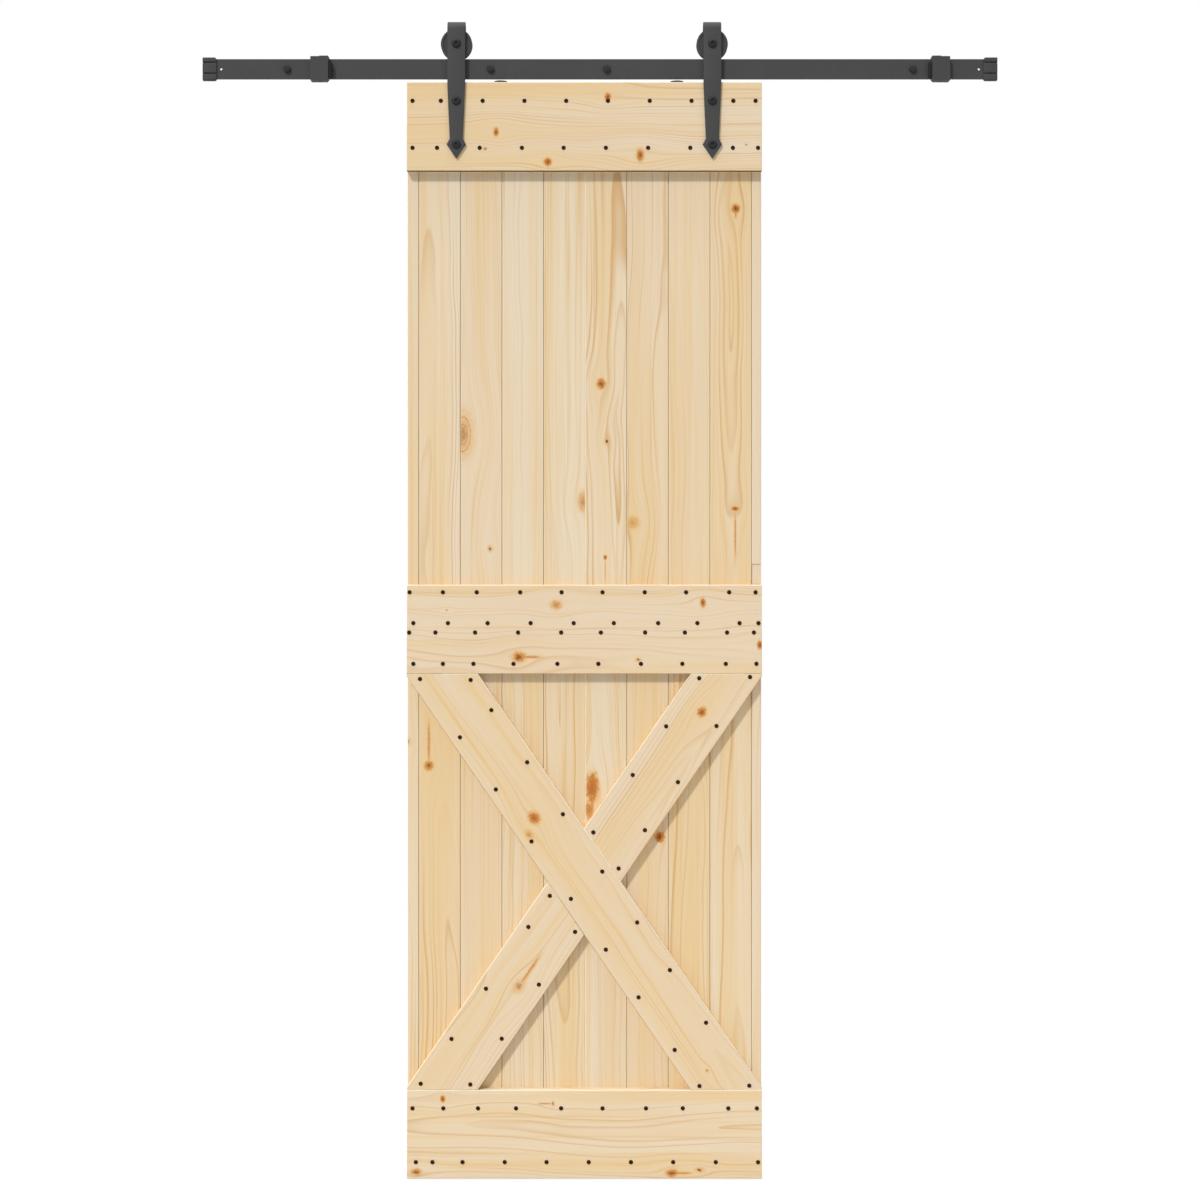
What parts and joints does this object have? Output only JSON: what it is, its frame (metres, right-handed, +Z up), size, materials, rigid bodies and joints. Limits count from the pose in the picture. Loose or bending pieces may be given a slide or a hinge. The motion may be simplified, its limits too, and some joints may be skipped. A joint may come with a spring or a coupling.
{
  "type": "sliding barn door with rail",
  "caption": "Planked pine sliding door leaf with ledgers and a crossed brace, hung by grooved wheels and arrow-ended straps from a flat wall rail with stops and end caps.",
  "frame": {"origin": "on the wall plane, at the middle of the rail's length and the height of its lag bolts", "axes": "+X along the rail to the right as seen from the room, +Y into the wall, +Z up"},
  "size_m": [1.524, 0.1175, 2.2168],
  "materials": {
    "pine_planks": "bare planed pine",
    "pine_boards": "bare planed pine with eased edges",
    "screw_steel": "black phosphate",
    "coated_steel": "matt dark grey powder coat",
    "fastener_steel": "matt black coat",
    "wheel_steel": "matt dark grey coat",
    "bearing_steel": "ground steel",
    "cap_plastic": "moulded matt dark grey",
    "bumper_rubber": "black rubber"
  },
  "bodies": {
    "rail_set": {"end_cap_left": "cap_plastic", "end_cap_right": "cap_plastic", "lag_bolts": "fastener_steel", "rail": "coated_steel", "rail_spacers": "coated_steel", "stop_block_left": "coated_steel", "stop_block_right": "coated_steel", "stop_bumper_left": "bumper_rubber", "stop_bumper_right": "bumper_rubber", "stop_screws": "fastener_steel"},
    "door": {"anti_jump_discs": "cap_plastic", "axle_bolts": "fastener_steel", "axle_nuts": "fastener_steel", "bearing_sleeves": "bearing_steel", "bottom_ledger": "pine_boards", "brace_lower_half": "pine_boards", "brace_main": "pine_boards", "brace_upper_half": "pine_boards", "disc_screws": "fastener_steel", "hanger_bolts": "fastener_steel", "hanger_nuts": "fastener_steel", "hanger_strap_left": "coated_steel", "hanger_strap_right": "coated_steel", "mid_ledger": "pine_boards", "plank_lower_01": "pine_planks", "plank_lower_02": "pine_planks", "plank_lower_03": "pine_planks", "plank_lower_04": "pine_planks", "plank_lower_05": "pine_planks", "plank_lower_06": "pine_planks", "plank_lower_07": "pine_planks", "plank_lower_08": "pine_planks", "plank_lower_09": "pine_planks", "plank_lower_10": "pine_planks", "plank_upper_01": "pine_planks", "plank_upper_02": "pine_planks", "plank_upper_03": "pine_planks", "plank_upper_04": "pine_planks", "plank_upper_05": "pine_planks", "plank_upper_06": "pine_planks", "plank_upper_07": "pine_planks", "plank_upper_08": "pine_planks", "plank_upper_09": "pine_planks", "plank_upper_10": "pine_planks", "screws_bottom_ledger": "screw_steel", "screws_braces": "screw_steel", "screws_mid_ledger": "screw_steel", "screws_top_ledger": "screw_steel", "top_ledger": "pine_boards"},
    "wheel_left": {"wheel_left": "wheel_steel", "bearing_left": "bearing_steel"},
    "wheel_right": {"wheel_right": "wheel_steel", "bearing_right": "bearing_steel"}
  },
  "joints": [
    {"name": "door_slide", "type": "slide", "parent": "rail_set", "child": "door", "axis": [1, 0, 0], "range_m": [-0.221, 0.3965]},
    {"name": "wheel_left_spin", "type": "hinge", "parent": "door", "child": "wheel_left", "pos_m": [-0.275, -0.033, 0.0468], "axis": [0, 1, 0], "range_deg": [-462, 828]},
    {"name": "wheel_right_spin", "type": "hinge", "parent": "door", "child": "wheel_right", "pos_m": [0.215, -0.033, 0.0468], "axis": [0, 1, 0], "range_deg": [-462, 828]}
  ],
  "couplings": [
    {"joint": "wheel_left_spin", "follows": "door_slide", "rad_per_m": 36.364},
    {"joint": "wheel_right_spin", "follows": "door_slide", "rad_per_m": 36.364}
  ]
}
